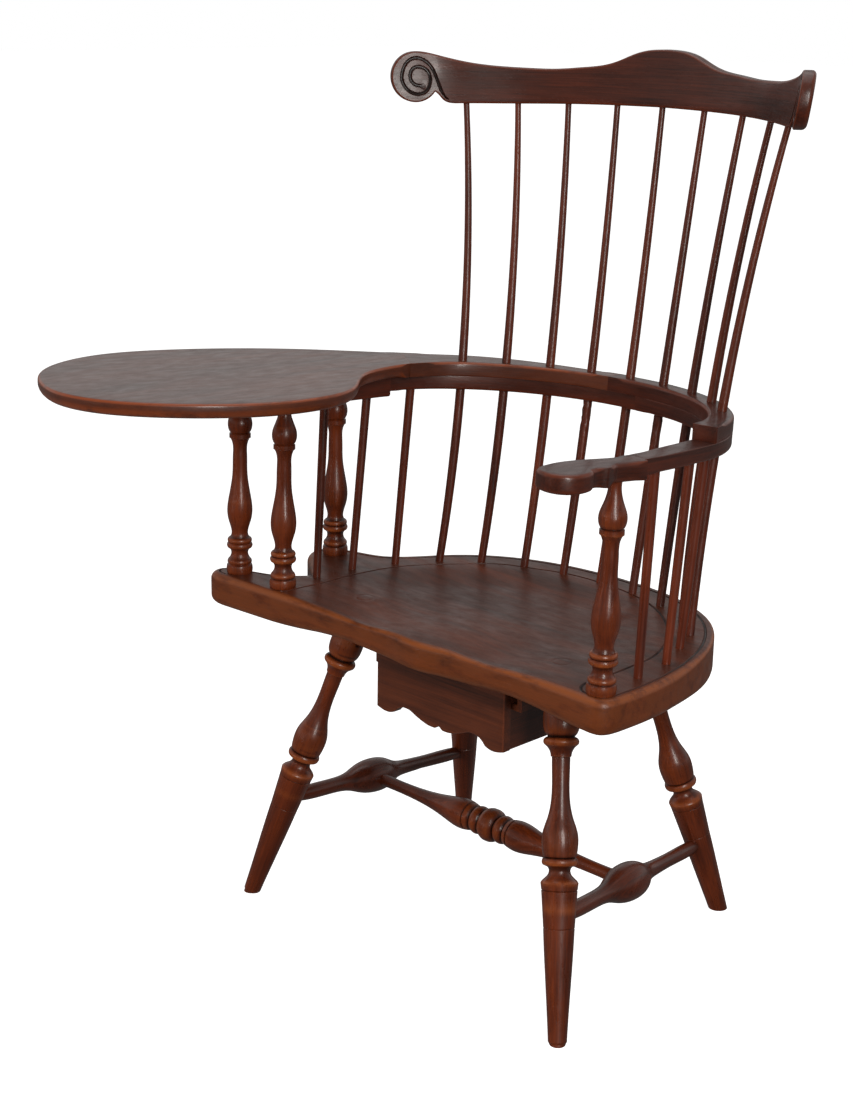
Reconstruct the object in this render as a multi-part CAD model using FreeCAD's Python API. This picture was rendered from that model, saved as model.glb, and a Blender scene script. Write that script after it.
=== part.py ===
"""Comb-back Windsor writing-arm chair with a drawer under the seat.

Millimetres. The chair faces -Y, the sitter's left is +X and the writing tablet is on -X.
The shapes are drawn about the seat's centre line with the floor at Z = 0, and are moved at
the end so that the origin is the middle of the chair's footprint.
"""
import FreeCAD, Part
import math
import os

V = FreeCAD.Vector
UP = V(0, 0, 1)

# ---------------------------------------------------------------- driving dimensions
SEAT_TOP = 450.0
SEAT_THICK = 48.0
SEAT_UNDER = SEAT_TOP - SEAT_THICK
SOCKET = 22.0

# Each leg: where it meets the floor and where its tenon meets the seat's top. The rear right
# leg stands further out, under the lobe that carries the tablet's posts.
LEGS = {
    "leg_front_left": ((292.5, -352.5), (180.0, -237.0)),
    "leg_front_right": ((-292.5, -352.5), (-180.0, -237.0)),
    "leg_rear_left": ((209.0, 97.0), (107.0, -13.0)),
    "leg_rear_right": ((-303.0, 106.0), (-203.5, -7.0)),
}
REAR_LEG_CUT = 21.0
LEG_TENON_RADIUS = 12.5
STRETCHER_FRONT_Z = 146.0
STRETCHER_REAR_Z = 100.0
STRETCHER_TENON = 13.0
BULB_AT = 0.455

RAIL_HALF_X = 283.0
RAIL_HALF_Y = 240.0
RAIL_CENTRE_Y = -140.0
RAIL_HALF_WIDTH = 17.0
RAIL_TOP = 741.0
RAIL_PIVOT_Y = 100.0
RAIL_TILT = 2.22
LAYER = 20.0
RAIL_MID = RAIL_TOP - LAYER
RAIL_UNDER = RAIL_TOP - 2 * LAYER
THICK_RAIL_EXTRA = 8.0
HAND_UNDER = RAIL_UNDER - 4.0

CREST_THICK = 18.0
CREST_LEAN = 0.12
VOLUTE_RADIUS = 35.0
VOLUTE_THICK = 17.0
VOLUTE_Z = 1140.0
VOLUTE_AT = (324.0, -8.0)

POST_LEFT_AT = (289.0, -293.0)
TABLET_POST_OUTER_AT = (-385.0, -291.0)
TABLET_POST_REAR_AT = (-363.0, -124.0)
POST_LEAN_OUT = 2.0
POST_LEAN_BACK = 7.0

DRAWER_HALF_WIDTH = 117.0
DRAWER_FRONT_Y = -274.0
DRAWER_BACK_Y = -54.0
DRAWER_BOTTOM_Z = 312.0
DRAWER_TOP_Z = 399.5
DRAWER_FRONT_THICK = 14.0
DRAWER_WALL = 9.0
CLEAT_WIDTH = 10.0
CLEAT_Z = (379.5, 390.0)
RUNNER_LIP_Z = (371.0, 379.0)
RUNNER_WIDTH = 19.0
RUNNER_WEB = 8.0
SLIDE_GAP = 0.8

# Long spindles, from the outermost inwards: at the seat, at the back rail and at the crest.
LONG_SPINDLES = [
    ((231, -38), (229, 0), (275, 45, 1104)),
    ((186, 5), (182, 42), (217, 91, 1105)),
    ((126, 33), (126, 74), (150, 123, 1107)),
    ((64, 49), (64, 92), (75, 140, 1109)),
    ((0, 55), (0, 100), (0, 145, 1110)),
]
# Short spindles, from the front: at the seat and at the arm.
# Short spindles, from the front backwards: at the seat and at the arm. The right ones are
# drawn on the left and mirrored.
SPINDLES_UNDER_ARM = [
    ((286, -218), (291, -210)), ((278, -151), (285, -133)), ((253, -90), (262, -69)),
]
SPINDLES_UNDER_TABLET = [
    ((293, -225), (291, -210)), ((287, -161), (285, -133)), ((264, -96), (262, -69)),
]
# How a long spindle thins from the seat, past the back rail, to the crest.
SPINDLE_RADII = [5.6, 6.2, 6.6, 6.5, 5.9, 5.3, 4.7, 4.4]

parts = {}


# ---------------------------------------------------------------- shaping helpers
def run_edge(points):
    """A straight line, an arc or a smooth curve, by how many points the run has."""
    if len(points) == 2:
        return Part.LineSegment(points[0], points[1]).toShape()
    if len(points) == 3:
        return Part.Arc(points[0], points[1], points[2]).toShape()
    curve = Part.BSplineCurve()
    curve.interpolate(points)
    return curve.toShape()


def turning(runs):
    """A solid of revolution about Z from runs of (height, radius)."""
    edges = [run_edge([V(r, 0, h) for h, r in run]) for run in runs]
    low, high = runs[0][0], runs[-1][-1]
    edges.insert(0, run_edge([V(0, 0, low[0]), V(low[1], 0, low[0])]))
    edges.append(run_edge([V(high[1], 0, high[0]), V(0, 0, high[0])]))
    edges.append(run_edge([V(0, 0, high[0]), V(0, 0, low[0])]))
    return Part.Face(Part.Wire(edges)).revolve(V(0, 0, 0), UP, 360)


def stand(shape, start, end):
    """Places a shape made along Z so that it runs from start towards end."""
    shape.Placement = FreeCAD.Placement(start, FreeCAD.Rotation(UP, end - start))
    return shape


def smooth_outline(runs, z):
    """A closed wire at height z from runs of (x, y) that meet end to end."""
    return Part.Wire([run_edge([V(x, y, z) for x, y in run]) for run in runs])


def board(runs, z_low, z_high):
    """A flat board with vertical edges."""
    return Part.Face(smooth_outline(runs, z_low)).extrude(V(0, 0, z_high - z_low))


def box(x, y, z):
    """A box between pairs of coordinates."""
    return Part.makeBox(x[1] - x[0], y[1] - y[0], z[1] - z[0], V(x[0], y[0], z[0]))


def rim(shape, z):
    """The edges of a board that lie in the plane at height z."""
    found = []
    for edge in shape.Edges:
        bounds = edge.BoundBox
        if abs(bounds.ZMin - z) < 0.01 and abs(bounds.ZMax - z) < 0.01:
            found.append(edge)
    return found


def eased(shape, z, radius):
    """Rounds a board's edge at height z."""
    return shape.makeFillet(radius, rim(shape, z))


def tilted(shape):
    """Tips the arms, back rail and tablet up towards the front, as they sit on the posts."""
    return shape.rotated(V(0, RAIL_PIVOT_Y, RAIL_TOP), V(1, 0, 0), -RAIL_TILT)


def rail_point(x, y, z):
    """Where a point of the level rail ends up once the rail is tipped."""
    return tilted(Part.Vertex(x, y, z)).Point


def mirrored(shape):
    """The same piece on the other side of the chair."""
    return shape.mirror(V(0, 0, 0), V(1, 0, 0))


def rail_edge(offset, angle_from, angle_to, count=7):
    """Points on the rail's half ellipse, offset outwards; 0 degrees is +X and 90 is the back."""
    points = []
    for i in range(count):
        turn = math.radians(angle_from + (angle_to - angle_from) * i / (count - 1))
        x = (RAIL_HALF_X + offset) * math.cos(turn)
        y = RAIL_CENTRE_Y + (RAIL_HALF_Y + offset) * math.sin(turn)
        points.append((x, y))
    return points


def closed(*runs):
    """Runs of points with straight joints added where one run doesn't meet the next."""
    result = []
    for i, run in enumerate(runs):
        result.append(run)
        following = runs[(i + 1) % len(runs)]
        if math.dist(run[-1], following[0]) > 1e-6:
            result.append([run[-1], following[0]])
    return result


# ---------------------------------------------------------------- seat
def seat_board():
    """The plank: symmetric at the back and left, with a lobe on the right for the tablet."""
    left = [(0, 96), (82, 89), (153, 68), (208, 35), (251, -12), (283, -68), (303, -126),
            (315, -183), (320, -242), (319, -288)]
    corner = [(319, -288), (315, -306), (305, -317), (288, -320)]
    front = [(288, -320), (230, -316), (150, -313), (75, -314), (36, -318), (6, -324),
             (-20, -323), (-52, -318), (-110, -317), (-200, -319), (-300, -322), (-392, -325)]
    lobe = [(-392, -325), (-414, -320), (-425, -305), (-421, -288), (-402, -277), (-372, -266),
            (-335, -250), (-316, -230)]
    notch = [(-316, -230), (-311, -222), (-316, -214)]
    rear_lobe = [(-316, -214), (-346, -192), (-376, -168), (-396, -144), (-396, -118),
                 (-374, -100), (-340, -90), (-304, -78), (-276, -50), (-251, -12),
                 (-208, 35), (-153, 68), (-82, 89), (0, 96)]
    return board([left, corner, front, lobe, notch, rear_lobe], SEAT_UNDER, SEAT_TOP)


def make_seat():
    plank = seat_board()
    plank = eased(plank, SEAT_TOP, 5.0)
    plank = eased(plank, SEAT_UNDER, 9.0)
    dish_radius, dish_depth = 205.0, 9.0
    ball = (dish_radius ** 2 + dish_depth ** 2) / (2 * dish_depth)
    dish = Part.makeSphere(ball, V(0, -150, SEAT_TOP - dish_depth + ball))
    return plank.cut(dish)


# ---------------------------------------------------------------- legs and stretchers
def leg_turning():
    """The leg's turned outline, from the foot upwards."""
    return turning([
        [(0, 10.5), (2.5, 12)], [(2.5, 12), (75, 16.2), (112, 18.4), (142, 19.8)],
        [(142, 19.8), (142.8, 19.1)], [(142.8, 19.1), (143.6, 19.9)],
        [(143.6, 19.9), (189, 22.9)], [(189, 22.9), (190, 21.8)], [(190, 21.8), (191, 23)],
        [(191, 23), (199, 24)], [(199, 24), (203, 21), (208, 15.8), (213, 13.6), (219, 15.8)],
        [(219, 15.8), (221.5, 21.5)], [(221.5, 21.5), (225.5, 22.8), (229.5, 21.5)],
        [(229.5, 21.5), (231, 18.8)], [(231, 18.8), (232.5, 21.2)],
        [(232.5, 21.2), (246, 23), (260, 22.5), (280, 16.3), (302, 12), (327, 11.2),
         (356, 11.7)],
        [(356, 11.7), (357, 13.2)], [(357, 13.2), (366, 15.8), (371, 20.6)],
        [(371, 20.6), (375.5, 22.8), (380, 20.6)], [(380, 20.6), (382, 17)],
        [(382, 17), (388, 21.4), (398, 23.4), (412, 23), (462, 19)],
    ])


def make_leg(foot, tenon, shortened):
    """One splayed leg with its through tenon, cut level at the floor and at the seat's top."""
    start, end = V(foot[0], foot[1], 0), V(tenon[0], tenon[1], SEAT_TOP)
    slope = (end - start).normalize()
    body = stand(leg_turning(), start - slope * shortened, end)
    foot_end = stand(Part.makeCylinder(10.5, 12.0), start - slope * 12.0, start)
    body = body.fuse(foot_end) if shortened == 0 else body
    body = body.common(box((-500, 500), (-600, 400), (0, SEAT_UNDER)))
    pin = stand(Part.makeCylinder(LEG_TENON_RADIUS, 60), end - slope * 58, end)
    pin = pin.common(box((-500, 500), (-600, 400), (SEAT_UNDER - 5, SEAT_TOP - 4)))
    return body.fuse(pin).removeSplitter()


def leg_axis_point(leg, z):
    """The centre of a named leg at height z."""
    foot, tenon = LEGS[leg]
    share = z / SEAT_TOP
    x = foot[0] + (tenon[0] - foot[0]) * share
    y = foot[1] + (tenon[1] - foot[1]) * share
    return V(x, y, z)


def stretcher_ends(side):
    """Where a side stretcher's axis meets the axes of its two legs."""
    front = leg_axis_point("leg_front_" + side, STRETCHER_FRONT_Z)
    rear = leg_axis_point("leg_rear_" + side, STRETCHER_REAR_Z)
    return front, rear


def side_stretcher(side):
    front, rear = stretcher_ends(side)
    along = (rear - front).normalize()
    span = (rear - front).Length
    inset = 20.0 - STRETCHER_TENON
    mid = span * BULB_AT - inset
    front = front + along * inset
    span = span - 2 * inset
    shape = turning([
        [(0, 7.5), (STRETCHER_TENON, 7.5)], [(STRETCHER_TENON, 7.5), (STRETCHER_TENON, 9)],
        [(STRETCHER_TENON, 9), (mid - 92, 11), (mid - 54, 14.2), (mid - 25, 22.6), (mid, 25.5),
         (mid + 24, 22.6), (mid + 46, 14.2), (mid + 75, 10.6), (mid + 120, 9.6),
         (span - STRETCHER_TENON, 9)],
        [(span - STRETCHER_TENON, 9), (span - STRETCHER_TENON, 7.5)],
        [(span - STRETCHER_TENON, 7.5), (span, 7.5)],
    ])
    return stand(shape, front, rear)


def bulb_centre(side):
    front, rear = stretcher_ends(side)
    return front + (rear - front) * BULB_AT


def medial_stretcher():
    """The cross stretcher between the two bulbs, turned the same both ways from its middle."""
    left, right = bulb_centre("left"), bulb_centre("right")
    middle = (left + right) * 0.5
    half = (left - right).Length / 2 - 25.5 + STRETCHER_TENON
    neck = half - STRETCHER_TENON
    side = [
        [(0, 24), (6, 23.4), (11, 20.5), (14, 15.5)],
        [(14, 15.5), (17, 18.5)], [(17, 18.5), (23, 20.5), (29, 18.5)], [(29, 18.5), (32, 15)],
        [(32, 15), (35, 19)], [(35, 19), (41, 20.5)], [(41, 20.5), (42.5, 18)],
        [(42.5, 18), (44, 21)],
        [(44, 21), (54, 21.8), (78, 18.5), (110, 13), (150, 9.5), (neck, 9)],
        [(neck, 9), (neck, 7.5)], [(neck, 7.5), (half, 7.5)],
    ]
    other = [[(-h, r) for h, r in reversed(run)] for run in reversed(side)]
    return stand(turning(other + side), middle, left)


# ---------------------------------------------------------------- posts and spindles
def post_turning(height, top_tenon):
    """Vase and ring turning between the seat and what it carries, with a tenon at each end."""
    return turning([
        [(-SOCKET, 9), (0, 9)], [(0, 9), (0, 18)], [(0, 18), (6, 18.8), (12, 18)],
        [(12, 18), (13.5, 16)], [(13.5, 16), (15, 17.2)], [(15, 17.2), (18, 17.4), (21, 15.6)],
        [(21, 15.6), (27, 12.4), (32, 12.4), (36, 15)], [(36, 15), (37, 16.8)],
        [(37, 16.8), (41, 18.4), (44.5, 17)], [(44.5, 17), (45.3, 15.6)],
        [(45.3, 15.6), (46.1, 17)], [(46.1, 17), (49, 17.4), (52, 15.6)],
        [(52, 15.6), (53, 13.6)], [(53, 13.6), (58, 11.8), (65, 12.4), (79, 16.4), (92, 18),
         (112, 15.8), (145, 10.8), (172, 10.2), (189, 10.6), (197, 13.5)],
        [(197, 13.5), (198, 15.2)], [(198, 15.2), (204, 15.2)], [(204, 15.2), (205.5, 13.2)],
        [(205.5, 13.2), (207, 15)],
        [(207, 15), (214, 17.2), (222, 17), (234, 13), (250, 8.6), (height, 9.5)],
        [(height, 9.5), (height, 7)], [(height, 7), (height + top_tenon, 7)],
    ])


def make_post(at, lean, carried_z, top_tenon):
    """A post that leans by the given amounts in X and Y between the seat and what it carries."""
    foot = V(at[0], at[1], SEAT_TOP)
    top = V(at[0] + lean[0], at[1] + lean[1], carried_z)
    return stand(post_turning(carried_z - SEAT_TOP, top_tenon), foot, top)


def long_spindle(at_seat, at_rail, at_crest):
    """A tapered spindle that bends smoothly through the back rail, with an end in each socket."""
    seat = V(at_seat[0], at_seat[1], SEAT_TOP)
    rail = V(at_rail[0], at_rail[1], RAIL_UNDER + LAYER)
    crest = V(*at_crest)
    low_end = seat + (seat - rail).normalize() * SOCKET
    high_end = crest + (crest - rail).normalize() * SOCKET
    curve = Part.BSplineCurve()
    curve.interpolate([low_end, rail, high_end])
    first, last = curve.FirstParameter, curve.LastParameter
    rings = []
    for i, radius in enumerate(SPINDLE_RADII):
        where = first + (last - first) * i / (len(SPINDLE_RADII) - 1)
        ring = Part.Circle(curve.value(where), curve.tangent(where)[0], radius)
        rings.append(Part.Wire(ring.toShape()))
    return Part.makeLoft(rings, True, False)


def side_spindle(at_seat, at_arm):
    seat = V(at_seat[0], at_seat[1], SEAT_TOP)
    arm = rail_point(at_arm[0], at_arm[1], RAIL_MID - 6)
    along = (arm - seat).normalize()
    low = seat - along * SOCKET
    return stand(Part.makeCone(5.6, 6.3, (arm - low).Length), low, arm)


# ---------------------------------------------------------------- arms, back rail and tablet
LOWER_JOINT = 84.0
UPPER_JOINT = 95.0
THICK_END = 172.0
LEFT_END = 10.0


def arm_rail_left():
    """Lower layer from the middle of the back to the joint with the hand piece."""
    inner = rail_edge(-RAIL_HALF_WIDTH, LOWER_JOINT, 0)
    outer = rail_edge(RAIL_HALF_WIDTH, 0, LOWER_JOINT)
    arm = [(266, -140), (271, -190), (274.5, -217), (276, -243)]
    arm_out = [(304, -243), (304, -217), (303, -185), (300, -140)]
    shape = board(closed(inner, arm, arm_out, outer), RAIL_UNDER, RAIL_MID)
    return tilted(shape)


def arm_hand_left():
    """The hand rest: a knuckle outline with a rounded front, standing proud of the arm."""
    inner = [(276, -243.3), (272, -268), (260, -305), (251, -348), (254, -380)]
    nose = [(254, -380), (264, -396), (282, -403), (302, -400), (315, -384), (316, -362)]
    step = [(316, -362), (312, -351), (306.5, -346)]
    cove = [(306.5, -346), (306, -330), (310, -322)]
    hollow = [(310, -322), (307, -309), (302, -297)]
    swell = [(302, -297), (304.5, -282), (308.5, -265), (310, -250)]
    end = [(304, -249), (304, -243.3)]
    shape = board(closed(inner, nose, step, cove, hollow, swell, end), HAND_UNDER, RAIL_MID)
    return tilted(shape)


def arm_rail_right():
    """Lower layer from the middle of the back to the lap under the tablet's neck."""
    inner = rail_edge(-RAIL_HALF_WIDTH, LOWER_JOINT, THICK_END)
    outer = rail_edge(RAIL_HALF_WIDTH, THICK_END, LOWER_JOINT)
    return tilted(board(closed(inner, outer), RAIL_UNDER, RAIL_MID))


def arm_rail_right_front():
    """Thicker support under the tablet, carried by the arm post and the short spindles."""
    inner = rail_edge(-RAIL_HALF_WIDTH, THICK_END, 180, 3)
    outer = rail_edge(RAIL_HALF_WIDTH, 180, THICK_END, 3)
    arm = [(-266, -140), (-274, -325)]
    front = [(-304, -325), (-300, -140)]
    shape = board(closed(inner, arm, front, outer), RAIL_UNDER - THICK_RAIL_EXTRA, RAIL_MID)
    return tilted(shape)


def back_rail_left():
    """Upper layer from the middle of the back to its square end above the left arm."""
    inner = rail_edge(-RAIL_HALF_WIDTH, UPPER_JOINT, LEFT_END)
    outer = rail_edge(RAIL_HALF_WIDTH, LEFT_END, UPPER_JOINT)
    shape = board(closed(inner, outer), RAIL_MID, RAIL_TOP)
    return tilted(eased(shape, RAIL_TOP, 3.0))


TABLET_JOINT = ((-249.0, -85.0), (-327.0, -27.0))


def back_rail_right():
    """Upper layer on the right, widening outwards to meet the tablet's neck."""
    inner = rail_edge(-RAIL_HALF_WIDTH, UPPER_JOINT, 148, 5) + [TABLET_JOINT[0]]
    outer = [TABLET_JOINT[1], (-300, 2), (-262, 42), (-205, 77), (-130, 100),
             rail_edge(RAIL_HALF_WIDTH, UPPER_JOINT, UPPER_JOINT + 1, 2)[0]]
    shape = board(closed(inner, outer), RAIL_MID, RAIL_TOP)
    return tilted(eased(shape, RAIL_TOP, 3.0))


def writing_tablet():
    """The paddle-shaped board."""
    outer = [TABLET_JOINT[1], (-368, -68), (-425, -128), (-478, -204), (-520, -300),
             (-537, -400), (-515, -490), (-465, -563), (-392, -614), (-318, -636),
             (-255, -624), (-200, -584), (-152, -520), (-124, -450), (-119, -380),
             (-130, -325), (-152, -284), (-190, -240), (-222, -198), (-240, -150),
             TABLET_JOINT[0]]
    shape = board(closed(outer), RAIL_MID, RAIL_TOP)
    shape = eased(shape, RAIL_TOP, 3.0)
    return tilted(eased(shape, RAIL_MID, 6.0))


# ---------------------------------------------------------------- crest rail
def crest_curve():
    """Plan curve of the crest, from volute to volute."""
    half = [(302, 20.5), (275, 45), (217, 91), (150, 123), (75, 140)]
    points = [VOLUTE_AT] + half + [(0, 145)]
    points += [(-x, y) for x, y in reversed(half)] + [(-VOLUTE_AT[0], VOLUTE_AT[1])]
    curve = Part.BSplineCurve()
    curve.interpolate([V(x, y, 0) for x, y in points])
    return curve


# Half of the crest's outline: distance from the middle, lower edge and upper edge.
CREST_OUTLINE = [
    (0, 1110, 1187), (20, 1110, 1186), (42, 1110, 1182), (70, 1109, 1172), (98, 1109, 1164),
    (140, 1108, 1158), (190, 1106, 1154), (240, 1105, 1155), (290, 1104, 1158),
    (318, 1106, 1161), (334, 1113, 1164), (350, 1124, 1169), (368, 1130, 1173),
]


def crest_section(curve, distance, low, high):
    """The rail's closed outline across its length, leaning back with the spindles."""
    middle = curve.length() / 2
    where = curve.parameterAtDistance(middle + distance, curve.FirstParameter)
    point = curve.value(where)
    ahead = curve.tangent(where)[0]
    outward = V(ahead.y, -ahead.x, 0).normalize()
    corners = []
    for side, z in ((-0.5, low), (0.5, low), (0.5, high), (-0.5, high)):
        shift = side * CREST_THICK + (z - 1105) * CREST_LEAN
        corners.append(point + outward * shift + V(0, 0, z))
    corners.append(corners[0])
    return Part.makePolygon(corners)


def crest_rail():
    curve = crest_curve()
    half = [(d, low, high) for d, low, high in CREST_OUTLINE]
    stations = [(-d, low, high) for d, low, high in reversed(half[1:])] + half
    rail = Part.makeLoft([crest_section(curve, *station) for station in stations], True, False)
    discs = []
    for where in (curve.FirstParameter, curve.LastParameter):
        point, ahead = curve.value(where), curve.tangent(where)[0]
        outward = V(ahead.y, -ahead.x, 0).normalize()
        shift = (VOLUTE_Z - 1105) * CREST_LEAN
        centre = point + outward * (shift - VOLUTE_THICK / 2) + V(0, 0, VOLUTE_Z)
        discs.append(Part.makeCylinder(VOLUTE_RADIUS, VOLUTE_THICK, centre, outward))
    return rail.fuse(discs)


# ---------------------------------------------------------------- drawer
def drawer_front():
    """The front board with its scalloped lower edge."""
    low, half = DRAWER_BOTTOM_Z, DRAWER_HALF_WIDTH
    right = [
        [(0, 6.6), (7, 1.6)], [(7, 1.6), (20, 2), (30, 4.5), (42, 8.5), (55, 13.5), (67, 14)],
        [(67, 14), (78, 9), (84, 3)], [(84, 3), (93, 0), (106, 0.3), (half, 3.3)],
    ]
    runs = [[(x, h + low) for x, h in run] for run in right]
    runs.append([(half, 3.3 + low), (half, DRAWER_TOP_Z)])
    left = [[(-x, z) for x, z in reversed(run)] for run in reversed(runs)]
    runs = runs + [[(half, DRAWER_TOP_Z), (-half, DRAWER_TOP_Z)]] + left
    wire = Part.Wire([run_edge([V(x, DRAWER_FRONT_Y, z) for x, z in run]) for run in runs])
    return Part.Face(wire).extrude(V(0, DRAWER_FRONT_THICK, 0))


def make_drawer():
    inner_y = DRAWER_FRONT_Y + DRAWER_FRONT_THICK
    wall_x = (DRAWER_HALF_WIDTH - 1.5 - DRAWER_WALL, DRAWER_HALF_WIDTH - 1.5)
    floor_z = DRAWER_BOTTOM_Z + 18.0
    side = box(wall_x, (inner_y, DRAWER_BACK_Y), (DRAWER_BOTTOM_Z + 3, DRAWER_TOP_Z))
    groove = box((0, wall_x[0] + 3), (inner_y, DRAWER_BACK_Y), (floor_z, floor_z + 5))
    side = side.cut(groove)
    cleat = box((wall_x[1], wall_x[1] + CLEAT_WIDTH), (inner_y + 6, DRAWER_BACK_Y), CLEAT_Z)
    parts["drawer_front"] = drawer_front()
    parts["drawer_side_left"] = side
    parts["drawer_side_right"] = mirrored(side)
    parts["drawer_cleat_left"] = cleat
    parts["drawer_cleat_right"] = mirrored(cleat)
    back_y = (DRAWER_BACK_Y - DRAWER_WALL, DRAWER_BACK_Y)
    parts["drawer_back"] = box((-wall_x[0], wall_x[0]), back_y, (floor_z + 5, DRAWER_TOP_Z))
    bottom_x = wall_x[0] + 3
    parts["drawer_bottom"] = box((-bottom_x, bottom_x), (inner_y, DRAWER_BACK_Y),
                                 (floor_z, floor_z + 5))


def make_runners():
    """L-shaped runners under the seat that carry the drawer's cleats."""
    inner_x = DRAWER_HALF_WIDTH - 1.5 + SLIDE_GAP
    outer_x = inner_x + CLEAT_WIDTH + RUNNER_WEB
    y = (DRAWER_FRONT_Y + DRAWER_FRONT_THICK + 1, DRAWER_BACK_Y + 2)
    lip = box((inner_x, outer_x), y, RUNNER_LIP_Z)
    web = box((outer_x - RUNNER_WEB, outer_x), y, (RUNNER_LIP_Z[1], SEAT_UNDER))
    runner = lip.fuse(web).removeSplitter()
    screw_x = outer_x - RUNNER_WEB / 2
    screws = []
    for side in (-1, 1):
        for share in (0.12, 0.5, 0.88):
            screw_y = y[0] + (y[1] - y[0]) * share
            head = Part.makeCone(3.2, 1.6, 3, V(side * screw_x, screw_y, RUNNER_LIP_Z[0]), UP)
            shank = Part.makeCylinder(1.6, 46, V(side * screw_x, screw_y, RUNNER_LIP_Z[0]), UP)
            screws.append(head.fuse(shank).removeSplitter())
    parts["runner_screws"] = Part.makeCompound(screws)
    parts["drawer_runner_left"] = runner
    parts["drawer_runner_right"] = mirrored(runner)
    parts["drawer_stop"] = box((-20, 20), (DRAWER_BACK_Y + 1, DRAWER_BACK_Y + 13),
                               (SEAT_UNDER - 14, SEAT_UNDER))


# ---------------------------------------------------------------- fasteners
def make_leg_wedges():
    """One wedge across the top of each leg tenon, shown flush with the seat."""
    half = LEG_TENON_RADIUS - 3
    wedges = []
    for foot, (x, y) in LEGS.values():
        wedges.append(box((x - half, x + half), (y - 1.4, y + 1.4),
                          (SEAT_TOP - 22, SEAT_TOP - 4)))
    return Part.makeCompound(wedges)


def upright_pins(places, z_low, z_high, radius):
    """A group of identical round pins that stand in the tipped rail."""
    pins = []
    for x, y in places:
        pins.append(tilted(Part.makeCylinder(radius, z_high - z_low, V(x, y, z_low))))
    return Part.makeCompound(pins)


def make_fasteners():
    rail = [rail_edge(0, angle, angle, 2)[0] for angle in (30, 57.7, 70.8, 109.2, 122.3, 150)]
    parts["back_rail_screws"] = upright_pins(rail, RAIL_UNDER, RAIL_TOP - 6, 2.2)
    tablet = [(-290, -165), (-290, -190), (-290, -262), (-290, -316)]
    low = RAIL_UNDER - THICK_RAIL_EXTRA
    parts["tablet_screws"] = upright_pins(tablet, low, RAIL_TOP - 6, 2.2)
    dowels = []
    for x in (283.0, 297.0):
        start = V(x, -258, RAIL_MID - LAYER / 2)
        dowels.append(tilted(Part.makeCylinder(3.5, 30, start, V(0, 1, 0))))
    parts["hand_dowels"] = Part.makeCompound(dowels)


# ---------------------------------------------------------------- assembly
def cut_by(name, *cutters):
    """Cuts sockets for other pieces into one piece."""
    shape = parts[name]
    for cutter in cutters:
        shape = shape.cut(parts[cutter])
    parts[name] = shape


def build():
    parts["seat"] = make_seat()
    for name, (foot, tenon) in LEGS.items():
        parts[name] = make_leg(foot, tenon, REAR_LEG_CUT if "rear" in name else 0)
    parts["leg_wedges"] = make_leg_wedges()
    for side in ("left", "right"):
        parts["side_stretcher_" + side] = side_stretcher(side)
    parts["medial_stretcher"] = medial_stretcher()

    arm_under = rail_point(POST_LEFT_AT[0], POST_LEFT_AT[1], RAIL_UNDER).z
    tablet_under = rail_point(*TABLET_POST_OUTER_AT, RAIL_MID).z
    tablet_rear = rail_point(*TABLET_POST_REAR_AT, RAIL_MID).z
    left_lean, right_lean = (POST_LEAN_OUT, POST_LEAN_BACK), (-POST_LEAN_OUT, POST_LEAN_BACK)
    right_at = (-POST_LEFT_AT[0], POST_LEFT_AT[1])
    right_under = arm_under - THICK_RAIL_EXTRA
    parts["arm_post_left"] = make_post(POST_LEFT_AT, left_lean, arm_under, 15)
    parts["arm_post_right"] = make_post(right_at, right_lean, right_under, 22)
    outer_lean = (0, POST_LEAN_BACK - 2)
    parts["tablet_post_outer"] = make_post(TABLET_POST_OUTER_AT, outer_lean, tablet_under, 12)
    parts["tablet_post_rear"] = make_post(TABLET_POST_REAR_AT, (0, 0), tablet_rear, 12)

    count = 2 * len(LONG_SPINDLES) - 1
    for i, (seat, rail, crest) in enumerate(LONG_SPINDLES):
        spindle = long_spindle(seat, rail, crest)
        parts["back_spindle_%d" % (i + 1)] = mirrored(spindle)
        parts["back_spindle_%d" % (count - i)] = spindle
    for i, (seat, arm) in enumerate(SPINDLES_UNDER_ARM):
        parts["side_spindle_left_%d" % (i + 1)] = side_spindle(seat, arm)
    for i, (seat, arm) in enumerate(SPINDLES_UNDER_TABLET):
        parts["side_spindle_right_%d" % (i + 1)] = mirrored(side_spindle(seat, arm))

    parts["arm_rail_left"] = arm_rail_left()
    parts["arm_hand_left"] = arm_hand_left()
    parts["arm_rail_right"] = arm_rail_right()
    parts["arm_rail_right_front"] = arm_rail_right_front()
    parts["back_rail_left"] = back_rail_left()
    parts["back_rail_right"] = back_rail_right()
    parts["writing_tablet"] = writing_tablet()
    parts["crest_rail"] = crest_rail()
    make_drawer()
    make_runners()
    make_fasteners()


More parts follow.
